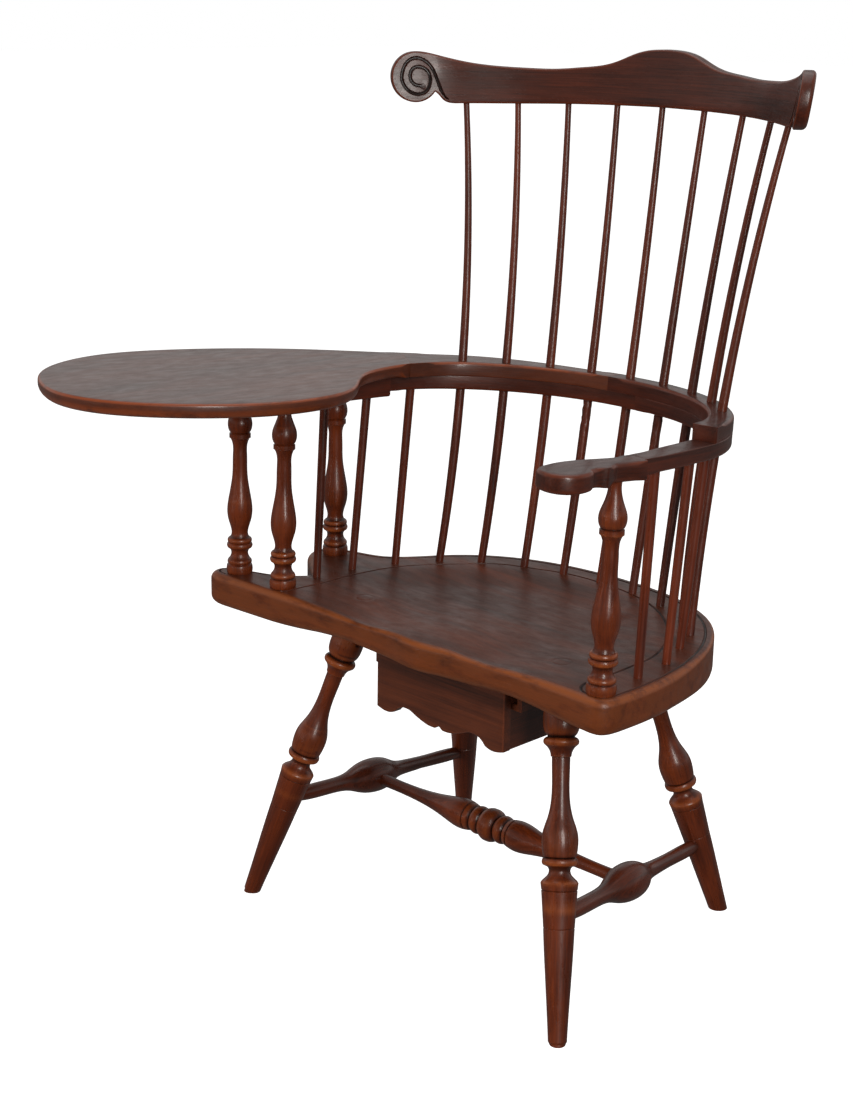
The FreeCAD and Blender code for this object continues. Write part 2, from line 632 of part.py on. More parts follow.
def fit_sockets():
    """Cuts every socket, so that the pieces meet face to face and nothing overlaps."""
    legs = list(LEGS)
    posts = ["arm_post_left", "arm_post_right", "tablet_post_outer", "tablet_post_rear"]
    longs = [name for name in parts if name.startswith("back_spindle")]
    shorts = [name for name in parts if name.startswith("side_spindle")]
    for leg in legs:
        side = "side_stretcher_left" if leg.endswith("left") else "side_stretcher_right"
        cut_by(leg, "leg_wedges", side)
    for side in ("side_stretcher_left", "side_stretcher_right"):
        cut_by(side, "medial_stretcher")
    cut_by("seat", "leg_wedges", "runner_screws", *legs, *posts, *longs, *shorts)
    for runner in ("drawer_runner_left", "drawer_runner_right"):
        cut_by(runner, "runner_screws")
    lower = ["arm_rail_left", "arm_rail_right", "arm_rail_right_front"]
    upper = ["back_rail_left", "back_rail_right", "writing_tablet"]
    for name in lower + upper:
        cut_by(name, *longs, *shorts, *posts, "back_rail_screws", "tablet_screws")
    cut_by("arm_rail_left", "hand_dowels")
    cut_by("arm_hand_left", "hand_dowels", "arm_post_left")
    cut_by("crest_rail", *longs)


def centred():
    """Moves every piece so that the origin is the middle of the footprint, on the floor."""
    whole = FreeCAD.BoundBox()
    for shape in parts.values():
        whole.add(shape.optimalBoundingBox(False, False))
    shift = V(-(whole.XMin + whole.XMax) / 2, -(whole.YMin + whole.YMax) / 2, 0)
    for name in parts:
        parts[name] = parts[name].translated(shift)
    return shift


build()
fit_sockets()
moved = centred()
os.makedirs("parts", exist_ok=True)
for name, shape in parts.items():
    shape.exportStep("parts/" + name + ".step")
print("nodes", len(parts), "shift", moved)
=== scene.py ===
"""Looks of the comb-back writing-arm chair: carved pieces, stained wood, studio and camera.

Shapes are drawn in millimetres in the chair's own coordinates: X = 0 on the seat's centre
line, +X on the sitter's left, -Y in front and Z = 0 on the floor, as the solids are drawn.
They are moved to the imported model's frame, in metres, as each mesh is made.
"""
import bpy
import math
import numpy
from mathutils import Matrix, Vector, geometry


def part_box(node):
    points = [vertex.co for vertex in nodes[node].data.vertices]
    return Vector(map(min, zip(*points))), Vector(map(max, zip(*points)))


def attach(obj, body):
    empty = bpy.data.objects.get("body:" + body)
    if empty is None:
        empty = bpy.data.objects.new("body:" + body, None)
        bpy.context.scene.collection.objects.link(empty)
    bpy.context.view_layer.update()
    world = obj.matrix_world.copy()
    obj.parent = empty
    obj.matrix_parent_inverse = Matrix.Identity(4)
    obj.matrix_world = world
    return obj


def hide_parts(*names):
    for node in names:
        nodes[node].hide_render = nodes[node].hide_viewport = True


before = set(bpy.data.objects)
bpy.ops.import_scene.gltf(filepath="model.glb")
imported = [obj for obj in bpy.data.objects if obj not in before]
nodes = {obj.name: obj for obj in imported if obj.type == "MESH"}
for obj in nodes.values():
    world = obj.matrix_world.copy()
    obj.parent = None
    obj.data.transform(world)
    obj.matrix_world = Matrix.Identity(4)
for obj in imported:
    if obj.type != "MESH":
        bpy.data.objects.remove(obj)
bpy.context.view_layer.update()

# ---------------------------------------------------------------- places taken from the frame
DRAWER_FRONT_Y = -0.274
_low, _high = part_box("drawer_front")
ORIGIN = Vector(((_low.x + _high.x) / 2, _low.y - DRAWER_FRONT_Y, 0))
SEAT_TOP = 450.0
SEAT_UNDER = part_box("seat")[0].z * 1000

# ---------------------------------------------------------------- named shapes
RAIL_HALF_X, RAIL_HALF_Y, RAIL_CENTRE_Y, RAIL_HALF_WIDTH = 283.0, 240.0, -140.0, 17.0
RAIL_TOP, RAIL_MID, RAIL_UNDER = 741.0, 721.0, 701.0
RAIL_PIVOT_Y, RAIL_TILT = 100.0, math.radians(2.22)
TABLET_JOINT = ((-249.0, -85.0), (-327.0, -27.0))
CREST_THICK, CREST_LEAN, CREST_BASE_Z = 18.0, 0.12, 1105.0
VOLUTE_RADIUS, VOLUTE_Z, VOLUTE_AT = 35.0, 1140.0, (324.0, -8.0)


# ---------------------------------------------------------------- curves
def spline(points, step):
    """Points about one step apart on a smooth curve through the given ones."""
    p = numpy.array(points, float)
    chord = numpy.linalg.norm(numpy.diff(p, axis=0), axis=1)
    at = numpy.concatenate([[0.0], numpy.cumsum(chord)])
    n = len(p)
    system, wanted = numpy.eye(n), numpy.zeros_like(p)
    for i in range(1, n - 1):
        system[i, i - 1:i + 2] = chord[i - 1], 2 * (chord[i - 1] + chord[i]), chord[i]
        wanted[i] = 6 * ((p[i + 1] - p[i]) / chord[i] - (p[i] - p[i - 1]) / chord[i - 1])
    bend = numpy.linalg.solve(system, wanted)
    u = numpy.linspace(0, at[-1], max(2, int(round(at[-1] / step)) + 1))
    k = numpy.clip(numpy.searchsorted(at, u, side="right") - 1, 0, n - 2)
    h = chord[k]
    a, b = ((at[k + 1] - u) / h)[:, None], ((u - at[k]) / h)[:, None]
    curve = (a ** 3 - a) * bend[k] + (b ** 3 - b) * bend[k + 1]
    return a * p[k] + b * p[k + 1] + curve * (h ** 2)[:, None] / 6


def rim_of(runs, step):
    """A closed rim from runs of points that meet, or are joined by straight lines, as an array
    that turns anticlockwise."""
    rows = []
    for i, run in enumerate(runs):
        rows.append(spline(run, step)[:-1])
        following = runs[(i + 1) % len(runs)][0]
        if math.dist(run[-1], following) > 1e-6:
            rows.append(spline([run[-1], following], step)[:-1])
    rim = numpy.concatenate(rows)
    x, y = rim.T
    area = numpy.sum(x * numpy.roll(y, -1) - y * numpy.roll(x, -1))
    return rim if area > 0 else rim[::-1]


def inwards(rim):
    """Unit normals to the left of a closed rim, lengthened where it turns sharply."""
    before, after = rim - numpy.roll(rim, 1, axis=0), numpy.roll(rim, -1, axis=0) - rim
    before /= numpy.linalg.norm(before, axis=1)[:, None]
    after /= numpy.linalg.norm(after, axis=1)[:, None]
    along = before + after
    along /= numpy.linalg.norm(along, axis=1)[:, None]
    mitre = numpy.clip(numpy.sum(along * after, axis=1), 0.7, 1)
    return numpy.stack([-along[:, 1], along[:, 0]], axis=1) / mitre[:, None]


def beside(line, offset):
    """The same open line moved sideways."""
    ahead = numpy.gradient(line, axis=0)
    ahead /= numpy.linalg.norm(ahead, axis=1)[:, None]
    return line + numpy.stack([-ahead[:, 1], ahead[:, 0]], axis=1) * offset


def inside(points, rim):
    """Which points lie within a closed rim."""
    x, y = points[:, :1], points[:, 1:2]
    ax, ay = rim.T
    bx, by = numpy.roll(rim, -1, axis=0).T
    spans = (ay > y) != (by > y)
    rise = numpy.where(by == ay, 1e-9, by - ay)
    crosses = spans & (x < ax + (y - ay) / rise * (bx - ax))
    return numpy.sum(crosses, axis=1) % 2 == 1


def distance(points, line):
    """How far each point is from the nearest vertex of a line."""
    result = numpy.empty(len(points))
    for start in range(0, len(points), 500):
        block = points[start:start + 500]
        gaps = numpy.linalg.norm(block[:, None, :] - line[None, :, :], axis=2)
        result[start:start + 500] = gaps.min(axis=1)
    return result


def smooth(value):
    value = numpy.clip(value, 0, 1)
    return value * value * (3 - 2 * value)


# ---------------------------------------------------------------- making carved boards
# Across a cut groove: the place, in half widths from its middle, and the share of its depth.
GROOVE_STEPS = ((-1.0, 0.0), (-0.55, 0.8), (0.0, 1.0), (0.55, 0.8), (1.0, 0.0))
BACK_SPACING = 15.0
# An arris at least this large gets its full rubbed wear and painted highlight, and a smaller one
# less.
FULL_EDGE_EASE, BACK_EDGE_SHARE = 3.0, 0.7
SHARP_ANGLE = math.radians(50)


def nowhere(flat):
    """Zero at every point: the default for a hollow or a raised back."""
    return numpy.zeros(len(flat))


def everywhere(rim):
    """One at every point: the default share of an arris."""
    return numpy.ones(len(rim))


def cap(edge, spacing, grooves):
    """Fills a rim with triangles. Returns the inner points, how deep and how dark each one is
    cut, and the triangles; the rim's own points come first in the numbering."""
    low, high = edge.min(axis=0), edge.max(axis=0)
    across = numpy.arange(low[0], high[0] + spacing, spacing)
    along = numpy.arange(low[1], high[1] + spacing, spacing)
    grid = numpy.stack(numpy.meshgrid(across, along), axis=-1).reshape(-1, 2)
    grid[:, 0] += (numpy.round(grid[:, 1] / spacing) % 2) * spacing / 2
    grid = grid[inside(grid, edge)]
    grid = grid[distance(grid, edge) > spacing * 0.6]
    cut = numpy.zeros(len(grid))
    points, depth = [grid], [cut]
    for line, half_width, deep in grooves:
        keep = distance(points[0], line) > half_width + spacing * 0.4
        points[0], depth[0] = points[0][keep], depth[0][keep]
        for side, share in GROOVE_STEPS:
            row = beside(line, side * half_width)
            row = row[inside(row, edge)]
            row = row[distance(row, edge) > 0.8]
            points.append(row)
            depth.append(numpy.full(len(row), share * deep))
    points, depth = numpy.concatenate(points), numpy.concatenate(depth)
    every = [Vector(p) for p in numpy.concatenate([edge, points])]
    n = len(edge)
    loop = [(i, (i + 1) % n) for i in range(n)]
    found = geometry.delaunay_2d_cdt(every, loop, [], 1, 1e-4)
    source = [origin[0] for origin in found[3]]
    faces = [tuple(source[i] for i in face) for face in found[2]]
    return points, depth, faces


def to_frame(points):
    return numpy.asarray(points) / 1000 + numpy.array(ORIGIN)


def give_values(mesh, values):
    """Writes the wood attributes, one value or one vector for each vertex."""
    for key, data in values.items():
        kind = "FLOAT_VECTOR" if data.ndim == 2 else "FLOAT"
        layer = mesh.attributes.new(key, kind, "POINT")
        layer.data.foreach_set("vector" if data.ndim == 2 else "value", data.ravel())


def new_piece(name, points, faces, values, body, slot, material):
    """A smooth mesh that stands for a CAD piece and rides on its body."""
    mesh = bpy.data.meshes.new(name)
    mesh.from_pydata([tuple(p) for p in to_frame(points)], [], faces)
    mesh.validate()
    mesh.polygons.foreach_set("use_smooth", [True] * len(mesh.polygons))
    mesh.set_sharp_from_angle(angle=SHARP_ANGLE)
    give_values(mesh, values)
    mesh.materials.append(material)
    piece = bpy.data.objects.new(name, mesh)
    bpy.context.collection.objects.link(piece)
    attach(piece, body)
    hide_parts(name)


def arris_rings(rim, back, front, ease_back, ease_front, share, steps, side_wear_and_light):
    """Rings of points from the back's flat to the front's, round both arrises: where each lies,
    its height, its rubbed wear and painted highlight, and how far it follows the front's hollow
    and the back's."""
    normal = inwards(rim)
    rings = []
    for i in range(steps + 1):
        turn = math.pi / 2 * i / steps
        row = rim + normal * share[:, None] * ease_back * (1 - math.sin(turn))
        height = back + share * ease_back * (1 - math.cos(turn))
        # Rubbed wear and painted highlight are strongest halfway round each arris.
        rubbed_and_lit = BACK_EDGE_SHARE * min(1, ease_back / FULL_EDGE_EASE) * math.sin(2 * turn)
        rings.append((row, height, max(rubbed_and_lit, side_wear_and_light * math.sin(turn)), 0.0, 1.0))
    for i in range(steps + 1):
        turn = math.pi / 2 * i / steps
        row = rim + normal * share[:, None] * ease_front * (1 - math.cos(turn))
        height = front - share * ease_front * (1 - math.sin(turn))
        rubbed_and_lit = min(1, ease_front / FULL_EDGE_EASE) * math.sin(2 * turn)
        rings.append((row, height, max(rubbed_and_lit, side_wear_and_light * math.cos(turn)), i / steps, 0.0))
    return rings


def carve(name, rim, back, front, ease_back, ease_front, place, grain, material, slot,
          dip=nowhere, grooves=(), spacing=9.0, share=everywhere, body="chair", ring_steps=5,
          under=nowhere, side_wear_and_light=0.0):
    """A board with a closed rim in its own (u, v) plane, from w = back to w = front, with
    rounded arrises, a hollowed front, a raised back and cut grooves."""
    rings = arris_rings(rim, back, front, ease_back, ease_front, share(rim), ring_steps,
                        side_wear_and_light)
    n, layers = len(rim), len(rings)
    flat = [row for row, height, wear_and_highlight, drop, lift in rings]
    level = [h - drop * dip(row) + lift * under(row) for row, h, wear_and_highlight, drop, lift in rings]
    worn_and_lit = [numpy.full(n, wear_and_highlight) for row, height, wear_and_highlight, drop, lift in rings]
    painted_shade = [numpy.zeros(n) for ring in rings]
    faces = []
    for k in range(layers - 1):
        for i in range(n):
            j = (i + 1) % n
            faces.append((k * n + i, k * n + j, (k + 1) * n + j, (k + 1) * n + i))
    count = layers * n
    ends = ((flat[-1], True, grooves, spacing), (flat[0], False, (), BACK_SPACING))
    for edge, top, cuts, gap in ends:
        inner, depth, filled = cap(edge, gap, cuts)
        first = (layers - 1) * n if top else 0
        for face in filled:
            corners = tuple(first + i if i < n else count + i - n for i in face)
            faces.append(corners if top else corners[::-1])
        flat.append(inner)
        level.append(front - dip(inner) - depth if top else back + under(inner))
        # A cut's painted shade grows with its depth.
        deepest = max([1e-6] + [deep for line, width, deep in cuts])
        painted_shade.append(depth / deepest)
        worn_and_lit.append(numpy.zeros(len(inner)))
        count += len(inner)
    uv, w = numpy.concatenate(flat), numpy.concatenate(level)
    worn_and_lit, painted_shade = numpy.concatenate(worn_and_lit), numpy.concatenate(painted_shade)
    values = {"grain": grain(uv, w), "wear_and_highlight": worn_and_lit, "painted_shade": painted_shade}
    new_piece(name, place(uv, w), faces, values, body, slot, material)


# ---------------------------------------------------------------- where boards lie
def lie_flat(uv, w):
    return numpy.column_stack([uv, w])


def lie_tilted(uv, w):
    """The arms, back rail and tablet rise a little towards the front."""
    y, z = uv[:, 1] - RAIL_PIVOT_Y, w - RAIL_TOP
    c, s = math.cos(-RAIL_TILT), math.sin(-RAIL_TILT)
    return numpy.column_stack([uv[:, 0], RAIL_PIVOT_Y + y * c - z * s, RAIL_TOP + y * s + z * c])


CREST_PLAN = [VOLUTE_AT, (302, 20.5), (275, 45), (217, 91), (150, 123), (75, 140), (0, 145)]


def crest_line():
    """The crest's plan curve from the sitter's right to left, with distances from its middle."""
    right = [(-x, y) for x, y in CREST_PLAN[:-1]]
    line = spline(right + CREST_PLAN[::-1], 2.0)
    steps = numpy.linalg.norm(numpy.diff(line, axis=0), axis=1)
    at = numpy.concatenate([[0.0], numpy.cumsum(steps)])
    return line, at - at[-1] / 2


CREST_CURVE, CREST_AT = crest_line()
CREST_END = CREST_AT[-1]


def lie_on_crest(uv, w):
    """u runs along the crest, v is the height and w points at the sitter."""
    ahead = numpy.gradient(CREST_CURVE, CREST_AT, axis=0)
    s = numpy.clip(uv[:, 0], -CREST_END, CREST_END)
    beyond = uv[:, 0] - s
    x = numpy.interp(s, CREST_AT, CREST_CURVE[:, 0])
    y = numpy.interp(s, CREST_AT, CREST_CURVE[:, 1])
    tx, ty = numpy.interp(s, CREST_AT, ahead[:, 0]), numpy.interp(s, CREST_AT, ahead[:, 1])
    length = numpy.hypot(tx, ty)
    tx, ty = tx / length, ty / length
    out = (uv[:, 1] - CREST_BASE_Z) * CREST_LEAN - w
    return numpy.column_stack([x + tx * beyond - ty * out, y + ty * beyond + tx * out, uv[:, 1]])


# ---------------------------------------------------------------- wood grain coordinates
def grain_across(offset):
    """Boards whose grain runs along X, as (across, through, along) plus an offset."""
    return lambda uv, w: numpy.column_stack([uv[:, 1], w, uv[:, 0]]) / 1000 + offset


def grain_turned(angle, offset):
    """Boards whose grain runs at an angle to X."""
    c, s = math.cos(angle), math.sin(angle)

    def grain(uv, w):
        along = uv[:, 0] * c + uv[:, 1] * s
        across = uv[:, 1] * c - uv[:, 0] * s
        return numpy.column_stack([across, w, along]) / 1000 + offset
    return grain


def grain_round_rail(offset):
    """The bent rails, whose grain follows the back's half ellipse and then the arms."""
    def grain(uv, w):
        x, y = uv[:, 0], uv[:, 1] - RAIL_CENTRE_Y
        turn = numpy.arctan2(numpy.maximum(y, 0), x)
        across = numpy.hypot(x / RAIL_HALF_X, numpy.maximum(y, 0) / RAIL_HALF_Y) * RAIL_HALF_X
        straight = numpy.where(x > 0, numpy.minimum(y, 0), -numpy.minimum(y, 0))
        return numpy.column_stack([across, w, turn * RAIL_HALF_X + straight]) / 1000 + offset
    return grain


# ---------------------------------------------------------------- wood
# Noise scales are per metre across, through and along the grain.
def link(tree, source, target):
    tree.links.new(source, target)


class Board:
    """A small helper for building a node material."""

    def __init__(self, name):
        self.material = bpy.data.materials.new(name)
        self.material.use_nodes = True
        self.tree = self.material.node_tree
        self.shader = self.tree.nodes["Principled BSDF"]

    def add(self, kind, inputs=None, **settings):
        node = self.tree.nodes.new(kind)
        for key, value in settings.items():
            setattr(node, key, value)
        for key, value in (inputs or {}).items():
            if isinstance(value, bpy.types.NodeSocket):
                self.tree.links.new(value, node.inputs[key])
            else:
                node.inputs[key].default_value = value
        return node

    def attribute(self, name, output):
        return self.add("ShaderNodeAttribute", attribute_name=name).outputs[output]

    def math(self, operation, a, b=0.0, clamp=False):
        node = self.add("ShaderNodeMath", {0: a, 1: b}, operation=operation, use_clamp=clamp)
        return node.outputs[0]

    def scaled(self, vector, scale):
        node = self.add("ShaderNodeVectorMath", {0: vector, 1: scale}, operation="MULTIPLY")
        return node.outputs[0]

    def noise(self, vector, scale, detail=3.0, roughness=0.55, distortion=0.0):
        node = self.add("ShaderNodeTexNoise", {
            "Vector": self.scaled(vector, scale), "Scale": 1.0, "Detail": detail,
            "Roughness": roughness, "Distortion": distortion})
        return node.outputs["Fac"]

    def ramp(self, value, stops):
        node = self.add("ShaderNodeValToRGB", {"Fac": value})
        marks = node.color_ramp.elements
        while len(marks) < len(stops):
            marks.new(0.5)
        for mark, (at, colour) in zip(marks, stops):
            mark.position = at
            mark.color = (*colour, 1) if len(colour) == 3 else colour
        return node.outputs["Color"]

    def span(self, value, low, high, out_low=0.0, out_high=1.0):
        node = self.add("ShaderNodeMapRange", {
            "Value": value, "From Min": low, "From Max": high, "To Min": out_low,
            "To Max": out_high})
        return node.outputs["Result"]

    def mix(self, share, a, b, blend="MIX"):
        node = self.add("ShaderNodeMix", data_type="RGBA", blend_type=blend)
        for socket, value in ((0, share), (6, a), (7, b)):
            if isinstance(value, bpy.types.NodeSocket):
                self.tree.links.new(value, node.inputs[socket])
            else:
                node.inputs[socket].default_value = value if socket == 0 else (*value, 1)
        return node.outputs[2]


def srgb(r, g, b):
    """A colour given as 0 to 255 screen values."""
    return tuple(((c / 255 + 0.055) / 1.055) ** 2.4 if c > 10 else c / 3294.6 for c in (r, g, b))


# Near-black painted shade for cuts and turned hollows.
SHADE_COLOUR = srgb(22, 14, 10)


def stained_wood(name, dark, middle, light, worn_and_lit, gloss=0.3, wear_and_highlight_share=0.8, bands=1.0,
                 coat=0.35):
    """Lacquered stained wood: fibres, pores and bands along the grain, with a worn colour on the
    arrises that is also a painted highlight, and near-black painted shade in the cuts and hollows."""
    b = Board(name)
    grain = b.attribute("grain", "Vector")
    wear_and_highlight, painted_shade = b.attribute("wear_and_highlight", "Fac"), b.attribute("painted_shade", "Fac")
    drift = b.noise(grain, (9, 9, 1.6), 2)
    band = b.noise(grain, (55 * bands, 30, 1.8), 4, 0.6, 0.6)
    fibre = b.noise(grain, (520, 520, 9), 3, 0.6)
    pores = b.noise(grain, (1500, 1500, 45), 2, 0.5)
    blotch = b.noise(grain, (16, 16, 7), 4, 0.6)
    tone = b.math("ADD", b.math("MULTIPLY", band, 0.5), b.math("MULTIPLY", drift, 0.22))
    tone = b.math("ADD", tone, b.math("MULTIPLY", fibre, 0.34))
    tone = b.math("ADD", tone, b.math("MULTIPLY", b.math("SUBTRACT", blotch, 0.5), 0.3))
    colour = b.ramp(tone, [(0.36, dark), (0.53, middle), (0.72, light)])
    pore_mask = b.span(pores, 0.60, 0.70)
    colour = b.mix(b.math("MULTIPLY", pore_mask, 0.45), colour, dark)
    # Rubbed wear and painted highlight: arrises and beads turn towards the worn colour, in
    # patches.
    edge_patches = b.noise(grain, (60, 60, 22), 4, 0.65)
    rubbed_and_lit = b.math("MULTIPLY", b.span(edge_patches, 0.26, 0.5), wear_and_highlight_share)
    rubbed_and_lit = b.math("MULTIPLY", rubbed_and_lit, wear_and_highlight, clamp=True)
    colour = b.mix(rubbed_and_lit, colour, worn_and_lit)
    # Painted shade: cuts and hollows turn towards near black.
    shade_share = b.math("MULTIPLY", painted_shade, 0.95, clamp=True)
    colour = b.mix(shade_share, colour, SHADE_COLOUR)
    link(b.tree, colour, b.shader.inputs["Base Color"])
    smear = b.noise(grain, (70, 70, 30), 4, 0.6)
    rough = b.span(smear, 0.3, 0.7, gloss - 0.07, gloss + 0.11)
    rough = b.math("ADD", rough, b.math("MULTIPLY", pore_mask, 0.12))
    link(b.tree, rough, b.shader.inputs["Roughness"])
    height = b.math("ADD", b.math("MULTIPLY", fibre, 0.5), b.math("MULTIPLY", pore_mask, -0.35))
    dents = b.noise(grain, (26, 26, 14), 2, 0.5)
    height = b.math("ADD", height, b.math("MULTIPLY", dents, 2.2))
    bump = b.add("ShaderNodeBump", {"Height": height, "Strength": 0.35, "Distance": 0.0006})
    link(b.tree, bump.outputs["Normal"], b.shader.inputs["Normal"])
    b.shader.inputs["Coat Weight"].default_value = coat
    b.shader.inputs["Coat Roughness"].default_value = 0.14
    b.shader.inputs["IOR"].default_value = 1.5
    return b.material


def make_woods():
    return {
        "seat_wood": stained_wood("seat_wood", srgb(58, 27, 14), srgb(90, 41, 21),
                                  srgb(118, 55, 27), srgb(152, 81, 38), 0.36, 0.9, 0.6, 0.0),
        "tablet_wood": stained_wood("tablet_wood", srgb(62, 30, 18), srgb(90, 43, 25),
                                    srgb(112, 56, 31), srgb(160, 76, 36), 0.36, 0.9, 0.5),
        "rail_wood": stained_wood("rail_wood", srgb(38, 15, 9), srgb(76, 32, 18),
                                  srgb(105, 43, 22), srgb(124, 54, 26), 0.36, 0.6, coat=0.25),
        "turned_wood": stained_wood("turned_wood", srgb(52, 20, 10), srgb(97, 40, 18),
                                    srgb(132, 58, 25), srgb(158, 80, 36), 0.29, 0.8, coat=0.2),
        "spindle_wood": stained_wood("spindle_wood", srgb(50, 19, 10), srgb(99, 41, 22),
                                     srgb(130, 56, 29), srgb(160, 78, 36), 0.32, 0.8, coat=0.25),
        "drawer_wood": stained_wood("drawer_wood", srgb(46, 23, 14), srgb(84, 40, 23),
                                    srgb(112, 55, 30), srgb(138, 68, 36), 0.42, 0.6),
    }


def screw_steel():
    b = Board("screw_steel")
    place = b.add("ShaderNodeTexCoord").outputs["Object"]
    dull = b.noise(place, (900, 900, 900), 3)
    colour = b.ramp(dull, [(0.3, (0.09, 0.075, 0.06)), (0.7, (0.36, 0.33, 0.29))])
    link(b.tree, colour, b.shader.inputs["Base Color"])
    link(b.tree, b.span(dull, 0.3, 0.7, 0.3, 0.6), b.shader.inputs["Roughness"])
    b.shader.inputs["Metallic"].default_value = 1.0
    return b.material


# ---------------------------------------------------------------- turned pieces, in metres
PROFILE_STEP = 0.001
# A slice of a turning counts when it has this many outer points, spread evenly round it.
RING_POINTS, OUTER_SHARE, LOPSIDED_SHARE, FEWEST_RINGS = 7, 0.96, 0.5, 20
# A surface this far outside the profile's running mean gets full rubbed wear and a painted
# highlight; inside it gets painted shade.
MEAN_SLICES, WORN_LIT_SWELL, SHADE_FROM, SHADE_OVER = 13, 0.0016, 0.0004, 0.0022
LEG_FOOT = 0.17


def points_of(mesh):
    """The mesh's vertices as rows of an array."""
    flat = numpy.empty(len(mesh.vertices) * 3)
    mesh.vertices.foreach_get("co", flat)
    return flat.reshape(-1, 3)


def turned_values(mesh, offset, plain, foot):
    """Grain along a turned piece's axis; arrises get rubbed wear and a painted highlight and
    hollows get painted shade, except on plain pieces and over the length of a leg's foot."""
    points = points_of(mesh)
    spread = points - (points.min(axis=0) + points.max(axis=0)) / 2
    middle = spread.mean(axis=0)
    axis = numpy.linalg.svd(spread - middle, full_matrices=False)[2][0]
    axis = axis if axis[2] >= 0 else -axis
    along = (spread - middle) @ axis
    radial = (spread - middle) - along[:, None] * axis
    radius = numpy.linalg.norm(radial, axis=1)
    count = int((along.max() - along.min()) / PROFILE_STEP) + 2
    part = ((along - along.min()) / PROFILE_STEP).astype(int)
    profile = numpy.zeros(count)
    numpy.maximum.at(profile, part, radius)
    # Slices that have no full ring of points lie only on sockets, so they are left out.
    outer = radius > OUTER_SHARE * profile[part]
    ring = numpy.bincount(part, outer, count)
    heading = radial / numpy.maximum(radius, 1e-6)[:, None]
    pull = [numpy.bincount(part, outer * heading[:, k], count) for k in range(3)]
    lopsided = numpy.linalg.norm(pull, axis=0) > LOPSIDED_SHARE * ring
    whole = (ring >= RING_POINTS) & ~lopsided
    if numpy.count_nonzero(whole) > FEWEST_RINGS:
        profile[~whole] = 0
    filled = numpy.nonzero(profile)[0]
    profile = numpy.interp(numpy.arange(count), filled, profile[filled])
    padded = numpy.pad(profile, MEAN_SLICES // 2, mode="edge")
    mean = numpy.convolve(padded, numpy.ones(MEAN_SLICES) / MEAN_SLICES, "valid")
    swell = (profile - mean)[part]
    swell[along < along.min() + foot] = 0
    if plain:
        swell[:] = 0
    # Beads get rubbed wear and a painted highlight; hollows get painted shade.
    return {
        "wear_and_highlight": numpy.clip(swell / WORN_LIT_SWELL, 0, 1),
        "painted_shade": numpy.clip((-swell - SHADE_FROM) / SHADE_OVER, 0, 1) ** 0.8,
        "grain": numpy.column_stack([radial @ numpy.cross(axis, (0.36, 0.48, 0.8)),
                                     radial @ numpy.array((0.8, 0.6, 0.0)), along]) + offset,
    }


def straight_values(mesh, offset):
    """Grain along the longest side of a plain board or pin."""
    points = points_of(mesh)
    order = numpy.argsort(points.max(axis=0) - points.min(axis=0))
    none = numpy.zeros(len(points))
    return {"grain": points[:, order] + offset, "wear_and_highlight": none, "painted_shade": none}


def dress(name, values, material):
    """Puts wood attributes and a material on a CAD piece."""
    mesh = nodes[name].data
    give_values(mesh, values)
    mesh.materials.clear()
    mesh.materials.append(material)


# ---------------------------------------------------------------- seat
SEAT_RUNS = [
    [(0, 96), (82, 89), (153, 68), (208, 35), (251, -12), (283, -68), (303, -126), (315, -183),
     (320, -242), (319, -288)],
    [(319, -288), (315, -306), (305, -317), (288, -320)],
    [(288, -320), (230, -316), (150, -313), (75, -314), (36, -318), (6, -324), (-20, -323),
     (-52, -318), (-110, -317), (-200, -319), (-300, -322), (-392, -325)],
    [(-392, -325), (-414, -320), (-425, -305), (-421, -288), (-402, -277), (-372, -266),
     (-335, -250), (-316, -230)],
    [(-316, -230), (-311, -222), (-316, -214)],
    [(-316, -214), (-346, -192), (-376, -168), (-396, -144), (-396, -118), (-374, -100),
     (-340, -90), (-304, -78), (-276, -50), (-251, -12), (-208, 35), (-153, 68), (-82, 89),
     (0, 96)],
]
DISH_LINE = [
    (-298, -312), (-277, -313), (-269, -280), (-265, -244), (-265, -194), (-263, -173),
    (-255, -124), (-232, -72), (-199, -30), (-158, 15), (-116, 33), (-56, 52), (-3, 54), (44, 49),
    (117, 24), (181, -25), (231, -93), (252, -151), (255, -196), (256, -230), (266, -302),
    (290, -309),
]
EDGE_LINE_INSET = 12.0
EDGE_LINE_ENDS = ((318, -296), (-392, -325))
# The saddle: its depth, the slope of its sides, where its front begins, how long that is,
# and how much of the depth is left there at the pommel and under the thighs.
DISH_DEPTH, DISH_HALF_X, SLOPE_WIDTH = 9.0, 272.0, 90.0
FRONT_FROM_Y, FRONT_LENGTH = -100.0, 165.0
POMMEL_SHARE, THIGH_SHARE, THIGH_X, THIGH_WIDTH = 0.22, 0.6, 105.0, 55.0
# Thinning under the front edge: least at the pommel and most in front of the thighs.
THIN_LEAST, THIN_EXTRA, THIN_X, THIN_WIDTH = 4.0, 5.0, 150.0, 60.0
THIN_FROM_Y, THIN_LENGTH, THIN_HALF_X, THIN_FADE = -258.0, 58.0, 300.0, 110.0
# The legs' tenons come up through the plank, and the saddle stays above their ends.
FRONT_TENONS = ((-180.0, -237.0), (180.0, -237.0))
LEG_TENONS = FRONT_TENONS + ((107.0, -13.0), (-203.5, -7.0))
TENON_RADIUS, TENON_DEPTH, TENON_REACH, TENON_FADE = 12.5, 2.6, 14.0, 34.0
# The arris is crisp at the back and becomes whole over this length towards the front.
REAR_ARRIS, ARRIS_FROM_Y, ARRIS_LENGTH = 0.45, -60.0, 120.0
# Half width and depth of the scribed lines, and of the faint rings round the tenons.
SCRIBED_LINE, TENON_RING = (2.1, 2.4), (0.8, 0.12)


